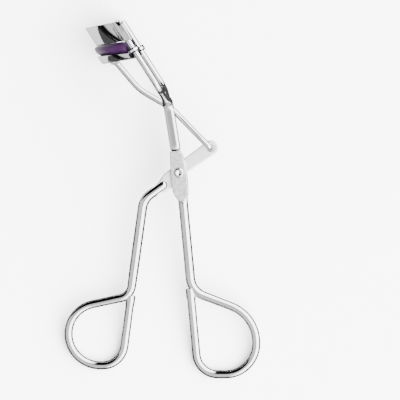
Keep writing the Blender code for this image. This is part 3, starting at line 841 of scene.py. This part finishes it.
def arm(name, side, material):
    """Neck strap with its foot pressed down behind the cheek, then out to the round guide wire."""
    neck = (Vector(ARM_CROTCH) - Vector(ARM_FOOT)).normalized()

    def strap_point(reach):
        place = (Vector(ARM_FOOT) + neck * reach) * MM
        return Vector((*place, side * NECK_SPREAD))

    corners = [
        strap_point(FOOT_SLOPE[0]),
        Vector((*(Vector(ARM_CROTCH) * MM), side * NECK_SPREAD)),
        Vector((*(Vector(ARM_SHOULDER) * MM), side * ARM_SPREAD)),
        Vector((*(Vector(ARM_TOP) * MM), side * ARM_SPREAD)),
    ]
    path = bent_path(corners, (0.0, CROTCH_BEND, SHOULDER_BEND, 0.0))
    sizes = []
    for distance in along(path):
        half_width = ramp(distance, *NECK_TAPER, NECK_HALF_WIDTH, ARM_RADIUS)
        half_thickness = ramp(distance, *NECK_TAPER, NECK_HALF_THICKNESS, ARM_RADIUS)
        sizes.append((half_width, half_thickness))
    for shrink in ARM_TIP_SHRINK:
        path.append(path[-1] + slide_direction() * ARM_TIP_STEP)
        sizes.append((ARM_RADIUS - shrink, ARM_RADIUS - shrink))
    for share, narrow, thin in FOOT_STEPS:
        path.insert(0, strap_point(FOOT_SLOPE[0] - share * (FOOT_SLOPE[0] - FOOT_SLOPE[1])))
        sizes.insert(0, (NECK_HALF_WIDTH * narrow, NECK_HALF_THICKNESS * thin))
    powers = [ramp(distance, *NECK_TAPER, NECK_POWER, 1.0) for distance in along(path)]
    bm = swept_rod(path, sizes, Vector((1.0, 0.0, 0.0)), powers=powers)
    return finish_piece(name + "_wire", bm, material, "frame", name)


def upper_jaw(material, edge_material):
    """Curved plate whose ends step out in front of the arms and are rolled round them."""
    slant = forward_slant()
    wrap = ARM_RADIUS + WRAP_GAP + SHEET / 2
    front = wrap / slant
    meet = math.acos((front + STEP_RADIUS * 0.4 - JAW_REACH + JAW_RADIUS) / JAW_RADIUS)
    half = [place for place in jaw_arc(meet, 96) if place[0].x >= -1e-9]
    end = half[-1][0]
    for share in (0.25, 0.5, 0.75, 1.0):
        angle = meet * (1 - share)
        run = 0.55 * STEP_RADIUS * math.sin(share * math.pi / 2)
        spot = Vector((end.x + run, end.y + (front - end.y) * share))
        half.append((spot, Vector((math.sin(angle), math.cos(angle)))))
    for degrees in range(90, -1, -10):
        angle = math.radians(degrees)
        out = Vector((math.cos(angle), math.sin(angle)))
        half.append((Vector((ARM_SPREAD + wrap * out.x, front * out.y)), out))
    half.append((Vector((ARM_SPREAD + wrap, -EAR_BACK)), Vector((1.0, 0.0))))
    mirrored = []
    for place, out in reversed(half[1:]):
        mirrored.append((Vector((-place.x, place.y)), Vector((-out.x, out.y))))
    places = mirrored + half
    section = rounded_strip(SHEET / 2, 0.0, UPPER_JAW_HEIGHT, SHEET_EDGE)
    bm = jaw_ribbon(places, [section] * len(places))
    around = len(section)
    for number, face in enumerate(bm.faces):
        if number % around not in (around // 2 - 1, around - 1):
            face.material_index = 1
    obj = finish_piece("upper_jaw_plate", bm, material, "frame", "upper_jaw")
    obj.data.materials.append(edge_material)
    return obj


def lower_jaw(material):
    """Channel for the pad, with rounded lips and bottom corners."""
    places = jaw_arc(TROUGH_END_ANGLE, 80)
    inner = TROUGH_HALF_WIDTH - TROUGH_WALL
    lip = TROUGH_WALL / 2
    corner = TROUGH_CORNER
    sections = []
    for _, outwards in places:
        lip_middle = TROUGH_RIM_DROP + rim_fall(outwards) + lip
        half = [(inner, TROUGH_FLOOR_DROP - TROUGH_WALL), (inner, lip_middle)]
        for degrees in (135, 90, 45, 0):
            angle = math.radians(degrees)
            half.append((inner + lip + lip * math.cos(angle), lip_middle - lip * math.sin(angle)))
        for degrees in range(0, 91, 15):
            angle = math.radians(degrees)
            offset = TROUGH_HALF_WIDTH - corner + corner * math.cos(angle)
            half.append((offset, TROUGH_FLOOR_DROP - corner + corner * math.sin(angle)))
        sections.append(half + [(-offset, drop) for offset, drop in reversed(half)])
    bm = jaw_ribbon(places, sections)
    return finish_piece("lower_jaw_channel", bm, material, "sliding_jaw", "lower_jaw")


def curl_pad(material):
    """Silicone strip with a soft rounded bulb and domed ends."""
    steps = 72
    places = jaw_arc(PAD_END_ANGLE, steps)
    side_power, crown_flatness = PAD_BOW
    sections = []
    for step, (_, outwards) in enumerate(places):
        bulb = PAD_BULB_DROP + rim_fall(outwards)
        middle = (PAD_CROWN_DROP + bulb) / 2
        rise = (bulb - PAD_CROWN_DROP) / 2
        angle = abs(2 * step / steps - 1) * PAD_END_ANGLE
        to_end = (PAD_END_ANGLE - angle) * JAW_RADIUS
        share = math.sqrt(max(0.04, 1 - (1 - min(1.0, to_end / PAD_END_ROUNDING)) ** 2))
        section = []
        for degrees in range(-60, 241, 12):
            turn = math.radians(degrees)
            squash = crown_flatness if math.sin(turn) > 0 else 1.0
            offset = PAD_HALF_WIDTH * share * flattened(math.cos(turn), side_power)
            section.append((offset, middle - rise * share * squash * math.sin(turn)))
        foot = PAD_FOOT_HALF_WIDTH * share
        neck = bulb - JOIN_INSET
        deep = PAD_FOOT_DROP if angle < TROUGH_END_ANGLE - 0.02 else bulb - 2 * JOIN_INSET
        section += [(-foot, neck), (-foot, deep), (foot, deep), (foot, neck)]
        sections.append(section)
    bm = jaw_ribbon(places, sections)
    obj = finish_piece("silicone_pad", bm, material, "sliding_jaw", "curl_pad", 60.0)
    return obj


def upright_prism(points, top_drop, bottom_drop, across):
    """Prism along the arms, from (forward, across) offsets square to the arm's axis."""
    up = slide_direction()
    square = Vector((-up.y, up.x, 0.0))
    if square.dot(forward_direction()) < 0:
        square.negate()
    bm = bmesh.new()
    rings = []
    for drop in (bottom_drop, top_drop):
        centre = jaw_point(across, 0.0, drop) + square * EYELET_OFFSET
        ring = []
        for forward, sideways in points:
            ring.append(bm.verts.new(centre + square * forward + Vector((0.0, 0.0, sideways))))
        rings.append(ring)
    bridge_rings(bm, rings)
    return bm


def circle_points(radius, sides=48):
    """Circle for upright_prism()."""
    points = []
    for step in range(sides):
        angle = 2 * math.pi * step / sides
        points.append((radius * math.cos(angle), radius * math.sin(angle)))
    return points


def guide_eyelet(name, side, material):
    """Ring that rides on an arm, with a tongue to the end of the channel."""
    across = side * ARM_SPREAD
    top, bottom = EYELET_DROPS
    slant = forward_slant()
    angle = TROUGH_END_ANGLE + math.radians(0.2)
    root_forward, root_across = TONGUE_ROOT
    outline = [(root_forward, root_across * side), (-root_forward, -root_across * side)]
    for offset in (-TONGUE_HALF_WIDTH, TONGUE_HALF_WIDTH):
        reach = JAW_RADIUS + offset
        forward = JAW_REACH - JAW_RADIUS + reach * math.cos(angle)
        outline.append((forward * slant, side * (reach * math.sin(angle) - ARM_SPREAD)))
    ring = upright_prism(circle_points(EYELET_RADIUS), top, bottom, across)
    tongue = upright_prism(outline, TONGUE_TOP_DROP, bottom - JOIN_INSET, across)
    hole = upright_prism(circle_points(EYELET_HOLE_RADIUS), top - MM, bottom + MM, across)
    bm = solid_with(ring, [("UNION", tongue), ("DIFFERENCE", hole)])
    obj = finish_piece(name + "_ring", bm, material, "sliding_jaw", name)
    soften(obj, EYELET_EDGE)
    return obj


def rod_saddle(material):
    """Block under the middle of the channel, where the push rod is fixed."""
    back, front = SADDLE_FORWARD
    half = SADDLE_HALF_WIDTH
    corners = ((-half, back), (half, back), (half, front), (-half, front))
    bm = bmesh.new()
    rings = []
    for drop in (SADDLE_BOTTOM_DROP, TROUGH_FLOOR_DROP - JOIN_INSET):
        rings.append([bm.verts.new(jaw_point(across, forward, drop)) for across, forward in corners])
    bridge_rings(bm, rings)
    obj = finish_piece("rod_saddle_plate", bm, material, "sliding_jaw", "rod_saddle")
    soften(obj, SADDLE_EDGE)
    return obj


def push_rod(material):
    """Bent wire from the saddle to the lever's eye, with its end hooked through the eye."""
    corners = [Vector((x, y, z)) * MM for x, y, z, _ in ROD_BENDS]
    path = bent_path(corners, [radius * MM for _, _, _, radius in ROD_BENDS], longest=0.7 * MM)
    lengths = along(path)
    sizes = []
    for distance in lengths:
        radius = ramp(lengths[-1] - distance, 1.6 * MM, 2.4 * MM, PIN_RADIUS, ROD_RADIUS)
        radius += ramp(distance, 0.0, 0.9 * MM, ROD_FLARE, 0.0)
        sizes.append((radius, radius))
    bm = swept_rod(path, sizes, Vector((0.0, 0.0, 1.0)))
    return finish_piece("push_rod_wire", bm, material, "sliding_jaw", "push_rod")


def eye_washer(material):
    """Keeper ring on the hooked end of the push rod, behind the lever plate."""
    top = -LEVER_THICKNESS / 2 - WASHER_GAP
    profile = washer_profile(WASHER_HOLE_RADIUS, WASHER_RADIUS, top - WASHER_THICKNESS, top)
    bm = turned(profile, 40, LEVER_EYE, closed=True)
    return finish_piece("eye_washer_ring", bm, material, "sliding_jaw", "eye_washer")


# ---------------------------------------------------------------- stage

def floor_material():
    """Plain matt paper."""
    nodes = Surface("pale_floor")
    coords = nodes.add("ShaderNodeTexCoord")
    paper = nodes.noise(coords.outputs["Object"], 240.0, 3.0, 0.55)
    nodes.blend_colour(paper, (0.86, 0.86, 0.86), (0.89, 0.89, 0.89))
    nodes.set(Roughness=0.75, Specular_IOR_Level=0.2)
    return nodes.material


def sheet_mesh(name, corners, material):
    """Flat sheet with four corners, for the floor and the cards."""
    mesh = bpy.data.meshes.new(name)
    mesh.from_pydata([Vector(corner) for corner in corners], [], [(0, 1, 2, 3)])
    mesh.materials.append(material)
    obj = bpy.data.objects.new(name, mesh)
    bpy.context.collection.objects.link(obj)
    return obj


def card(name, corners, paleness):
    """Matt studio card that is seen only in the plating."""
    nodes = Surface(name)
    nodes.set(Base_Color=(paleness, paleness, paleness, 1.0), Roughness=0.9, Specular_IOR_Level=0.0)
    obj = sheet_mesh(name, [Vector(corner) * MM for corner in corners], nodes.material)
    obj.visible_camera = False
    obj.visible_diffuse = False
    obj.visible_shadow = False
    obj.visible_transmission = False


def studio_world():
    """Soft room light round the tool, and a plain pale backdrop for the camera.

    The plating sees a dark strip along the horizon and a dark flag towards the upper left,
    which draw its outlines.
    """
    world = bpy.data.worlds.new("studio")
    bpy.context.scene.world = world
    world.use_nodes = True
    nodes = Nodes(world.node_tree)
    background = nodes.tree.nodes["Background"]
    background.inputs["Color"].default_value = (1.0, 1.0, 1.0, 1.0)
    coords = nodes.add("ShaderNodeTexCoord")
    parts = nodes.add("ShaderNodeSeparateXYZ")
    nodes.link(coords.outputs["Generated"], parts.inputs["Vector"])
    x = parts.outputs["X"]
    y = parts.outputs["Y"]
    z = parts.outputs["Z"]
    above_strip = nodes.fade(z, *HORIZON_STRIP)
    cosine = math.cos(math.radians(FLAG_AZIMUTH))
    sine = math.sin(math.radians(FLAG_AZIMUTH))
    towards = nodes.maths("ADD", nodes.maths("MULTIPLY", x, cosine), nodes.maths("MULTIPLY", y, sine))
    aside = nodes.maths("ADD", nodes.maths("MULTIPLY", x, -sine), nodes.maths("MULTIPLY", y, cosine))
    slope = nodes.maths("DIVIDE", nodes.maths("ABSOLUTE", aside), nodes.maths("MAXIMUM", towards, 0.02))
    beside_flag = nodes.fade(slope, *FLAG_EDGE)
    over_flag = nodes.maths("SUBTRACT", 1.0, nodes.fade(towards, *FLAG_TOP))
    clear_of_flag = nodes.maths("MAXIMUM", beside_flag, over_flag)
    left, right = ROOM_LIGHT
    level = nodes.maths("MULTIPLY_ADD", nodes.fade(x, *ROOM_SPLIT), right - left, left)
    dimming = nodes.maths("MULTIPLY_ADD", nodes.fade(z, *OVERHEAD), -OVERHEAD_DIMMING, 1.0)
    open_room = nodes.maths("MULTIPLY", above_strip, clear_of_flag)
    room_light = nodes.maths("MULTIPLY_ADD", open_room, nodes.maths("MULTIPLY", level, dimming), DARKEST)
    to_camera = nodes.add("ShaderNodeLightPath").outputs["Is Camera Ray"]
    shown = nodes.maths("MULTIPLY", to_camera, BACKDROP)
    hidden = nodes.maths("MULTIPLY", nodes.maths("SUBTRACT", 1.0, to_camera), room_light)
    nodes.link(nodes.maths("ADD", shown, hidden), background.inputs["Strength"])


def key_lamp():
    """Broad lamp that gives the floor its soft shadows. The plating doesn't mirror it."""
    lamp = bpy.data.lights.new("key", "AREA")
    lamp.shape = "DISK"
    lamp.size = KEY_SIZE
    lamp.energy = KEY_POWER
    obj = bpy.data.objects.new("key", lamp)
    bpy.context.collection.objects.link(obj)
    obj.location = KEY_PLACE
    obj.rotation_euler = (-Vector(KEY_PLACE)).to_track_quat("-Z", "Y").to_euler()
    obj.visible_glossy = False


def studio():
    """Pale floor, soft room light, dark cards and one broad lamp."""
    reach = FLOOR_REACH
    corners = ((-reach, -reach, 0), (reach, -reach, 0), (reach, reach, 0), (-reach, reach, 0))
    floor = sheet_mesh("floor", corners, floor_material())
    studio_world()
    for name, corners, paleness in CARDS:
        card(name, corners, paleness)
    key_lamp()


def camera():
    """Camera at the photograph's angle, almost square to the tool's own plane."""
    data = bpy.data.cameras.new("camera")
    obj = bpy.data.objects.new("camera", data)
    bpy.context.collection.objects.link(obj)
    aim = TOOL @ (Vector((*CAMERA_AIM, 0.0)) * MM)
    rotation = TOOL.to_3x3()
    away = (rotation @ Vector((*CAMERA_LEAN, 1.0))).normalized()
    right = (rotation @ Vector((0.0, 1.0, 0.0))).cross(away).normalized()
    up = away.cross(right)
    turn = Matrix((right, up, away)).transposed().to_4x4()
    obj.matrix_world = Matrix.Translation(aim + away * CAMERA_DISTANCE) @ turn
    data.sensor_width = 36.0
    data.lens = data.sensor_width * CAMERA_DISTANCE / FRAMED_WIDTH
    data.clip_start = 0.01
    data.clip_end = 10.0
    bpy.context.scene.camera = obj


# ---------------------------------------------------------------- assembly

rod_chrome = chrome_material("chrome_rod", (0.6, 90.0, 1.0), use_uv=True)
sheet_chrome = chrome_material("chrome_sheet", (3000.0, 400.0, 260.0), use_uv=False)
cut_edge = dark_edge_material()
eyelet_chrome_with_painted_shade = eyelet_material("chrome_eyelet_painted_shade", EYELET_PAINTED_SHADE_RIM)
cheek_satin = satin_material("satin_cheek", (5200.0, 700.0, 1400.0), 0.66, 0.40, 0.55)
lever_satin = satin_material("satin_lever", (1800.0, 1300.0, 1400.0), 0.95, 0.84, 0.20)
silicone = silicone_material()

pieces = [
    frame_handle(rod_chrome),
    cheek("cheek_front", 1, cheek_satin),
    cheek("cheek_rear", -1, cheek_satin),
    arm("arm_front", 1, rod_chrome),
    arm("arm_rear", -1, rod_chrome),
    upper_jaw(sheet_chrome, cut_edge),
    pivot_rivet(sheet_chrome),
    rivet_burr(sheet_chrome),
    lever_handle(rod_chrome),
    lever_plate(lever_satin),
    lower_jaw(sheet_chrome),
    rod_saddle(sheet_chrome),
    push_rod(rod_chrome),
    eye_washer(sheet_chrome),
    guide_eyelet("eyelet_front", 1, eyelet_chrome_with_painted_shade),
    guide_eyelet("eyelet_rear", -1, eyelet_chrome_with_painted_shade),
]
pad = curl_pad(silicone)

studio()
camera()
